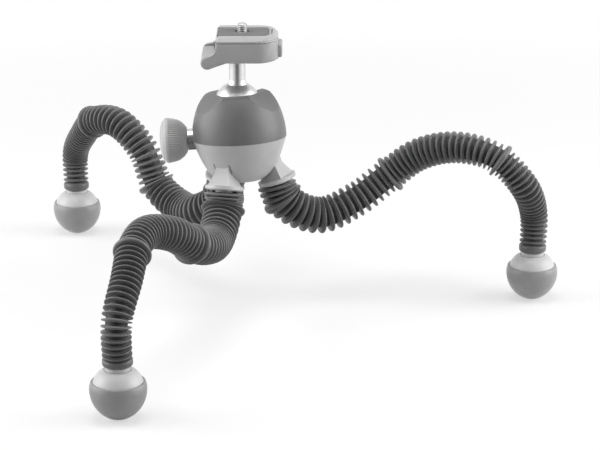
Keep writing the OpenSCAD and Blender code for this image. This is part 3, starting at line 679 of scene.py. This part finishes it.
def turned_collar(leg, degrees):
    """A leg's collar, turned about its own axis so that its corner faces as in the photo."""
    name = f"{leg.name}_collar"
    mesh = bmesh.new()
    mesh.from_mesh(nodes[name].data)
    turn = Matrix.Rotation(math.radians(degrees), 3, leg.root_dir)
    bmesh.ops.rotate(mesh, verts=mesh.verts, cent=leg.knots[2], matrix=turn)
    soften(piece(f"{name}_turned", mesh, "collar", name, "body"), SMALL_ROUND)


def press_spring():
    """The catch spring, with a mesh of its own."""
    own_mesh(nodes["catch_spring"])


# Pieces shown as the solids have them, with smooth faces and the slot's finish
slot_of = {s["node"]: s["material_slot"] for s in frame["record"]["subparts"]}
for name, node in nodes.items():
    shade(node.data, 28)
    node.data.materials.clear()
    node.data.materials.append(finish[slot_of[name]])
soften(nodes["back_collar"], SMALL_ROUND)
soften(nodes["front_collar"], SMALL_ROUND)
soften(nodes["knob_cap"], 0.3 * MM)

# Pieces of the scene's own
for number, name in enumerate(LEGS):
    leg = Leg(name, number)
    sleeve(leg)
    foot(leg)
    if name == "right":
        turned_collar(leg, COLLAR_TURN)
camera_screw()
clamp_lever()
plate_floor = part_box("quick_release_plate")[1].z - PLATE_H
clamp_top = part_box("plate_clamp")[1].z
rounded_outside("quick_release_plate", "plate", PLATE_ROUND,
                lambda e: min(v.co.z for v in e.verts) < plate_floor + 0.1 * MM,
                (plate_floor, clamp_top + PLATE_GAP))
rounded_outside("plate_clamp", "clamp", CLAMP_ROUND,
                lambda e: max(from_head(v.co)[1] for v in e.verts) < GROOVE_HALF)
catch_button()
ear_fillets()
lock_knob()
press_spring()


# Stage
def area_light(name, place, target, size, watts):
    """A square or oblong lamp turned towards a point."""
    data = bpy.data.lights.new(name, "AREA")
    data.shape = "RECTANGLE"
    data.size, data.size_y = size
    data.energy = watts
    lamp = bpy.data.objects.new(name, data)
    lamp.location = place
    lamp.rotation_euler = (Vector(target) - Vector(place)).to_track_quat("-Z", "Y").to_euler()
    bpy.context.scene.collection.objects.link(lamp)


def seen_directly(tree):
    """One where a ray comes from the camera or by way of metal or glass, and nought elsewhere."""
    path = tree.nodes.new("ShaderNodeLightPath")
    total = path.outputs["Is Camera Ray"]
    for other in ("Is Glossy Ray", "Is Transmission Ray"):
        most = tree.nodes.new("ShaderNodeMath")
        most.operation = "MAXIMUM"
        tree.links.new(total, most.inputs[0])
        tree.links.new(path.outputs[other], most.inputs[1])
        total = most.outputs[0]
    return total


def studio_world():
    """A world that is white where it is seen and gives only a little light."""
    world = bpy.data.worlds.new("studio")
    bpy.context.scene.world = world
    world.use_nodes = True
    tree = world.node_tree
    back = tree.nodes["Background"]
    strength = tree.nodes.new("ShaderNodeMapRange")
    strength.inputs["To Min"].default_value = 0.14
    strength.inputs["To Max"].default_value = 1.0
    tree.links.new(seen_directly(tree), strength.inputs["Value"])
    back.inputs["Color"].default_value = (1, 1, 1, 1)
    tree.links.new(strength.outputs["Result"], back.inputs["Strength"])


def pale_floor():
    """A floor that keeps the shadows near the object and turns white farther out."""
    half = 6.0
    corners = [(-half, -half, 0), (half, -half, 0), (half, half, 0), (-half, half, 0)]
    mesh = bpy.data.meshes.new("floor")
    mesh.from_pydata(corners, [], [(0, 1, 2, 3)])
    floor = bpy.data.objects.new("floor", mesh)
    bpy.context.scene.collection.objects.link(floor)
    mat = bpy.data.materials.new("pale floor")
    mat.use_nodes = True
    tree = mat.node_tree
    tree.nodes.clear()
    out = tree.nodes.new("ShaderNodeOutputMaterial")
    mix = tree.nodes.new("ShaderNodeMixShader")
    cloth = tree.nodes.new("ShaderNodeBsdfDiffuse")
    direct = seen_directly(tree)
    shown = tree.nodes.new("ShaderNodeMapRange")
    shown.inputs["To Min"].default_value = 0.8
    shown.inputs["To Max"].default_value = 0.95
    tree.links.new(direct, shown.inputs["Value"])
    tree.links.new(shown.outputs["Result"], cloth.inputs["Color"])
    glow = tree.nodes.new("ShaderNodeEmission")
    glow.inputs["Strength"].default_value = 1.0
    where = tree.nodes.new("ShaderNodeTexCoord")
    away = tree.nodes.new("ShaderNodeVectorMath")
    away.operation = "LENGTH"
    fade = tree.nodes.new("ShaderNodeMapRange")
    for socket, value in (("From Min", 0.3), ("From Max", 0.8), ("To Min", 0.55), ("To Max", 1.0)):
        fade.inputs[socket].default_value = value
    share = tree.nodes.new("ShaderNodeMath")
    share.operation = "MULTIPLY"
    tree.links.new(where.outputs["Object"], away.inputs[0])
    tree.links.new(away.outputs["Value"], fade.inputs["Value"])
    tree.links.new(fade.outputs["Result"], share.inputs[1])
    tree.links.new(direct, share.inputs[0])
    tree.links.new(share.outputs[0], mix.inputs["Fac"])
    tree.links.new(cloth.outputs[0], mix.inputs[1])
    tree.links.new(glow.outputs[0], mix.inputs[2])
    tree.links.new(mix.outputs[0], out.inputs["Surface"])
    mesh.materials.append(mat)


def softboxes():
    """A softbox at each side and one above."""
    middle = (BODY.x, BODY.y, 0.1)
    area_light("left softbox", (BODY.x - 1.2, BODY.y - 0.06, 0.55), middle, (1.1, 1.1), 15)
    area_light("right softbox", (BODY.x + 1.2, BODY.y - 0.06, 0.55), middle, (1.1, 1.1), 15)
    area_light("top softbox", (BODY.x, BODY.y - 0.15, 1.5), middle, (1.0, 1.0), 11)


def dark_card():
    """A card that only the metal mirrors, on the floor and upright in front of the body."""
    wide = 0.16
    high = 0.9
    far = BODY.y - 0.32
    near = BODY.y + 0.05
    mesh = bpy.data.meshes.new("dark card")
    section = ((near, 0.001), (far, 0.001), (far, high))
    mesh.from_pydata([(BODY.x + side * wide, y, z) for y, z in section for side in (-1, 1)],
                     [], [(0, 1, 3, 2), (2, 3, 5, 4)])
    card = bpy.data.objects.new("dark card", mesh)
    bpy.context.scene.collection.objects.link(card)
    mesh.materials.append(principled("dark card", (0.18, 0.18, 0.18), 1.0)[0])
    card.visible_camera = False
    card.visible_diffuse = False
    card.visible_shadow = False


def camera():
    """The photo's view: a long lens looking a little down along Y."""
    data = bpy.data.cameras.new("camera")
    data.sensor_fit = "HORIZONTAL"
    data.sensor_width = 36
    data.lens = 143.4
    data.clip_end = 20
    view = bpy.data.objects.new("camera", data)
    view.location = (BODY.x + 0.0385, BODY.y - 1.464, 0.519)
    view.rotation_euler = (math.radians(90 - 17.75), 0, 0)
    bpy.context.scene.collection.objects.link(view)
    bpy.context.scene.camera = view


bpy.context.scene.view_settings.view_transform = "Standard"
studio_world()
pale_floor()
softboxes()
dark_card()
camera()
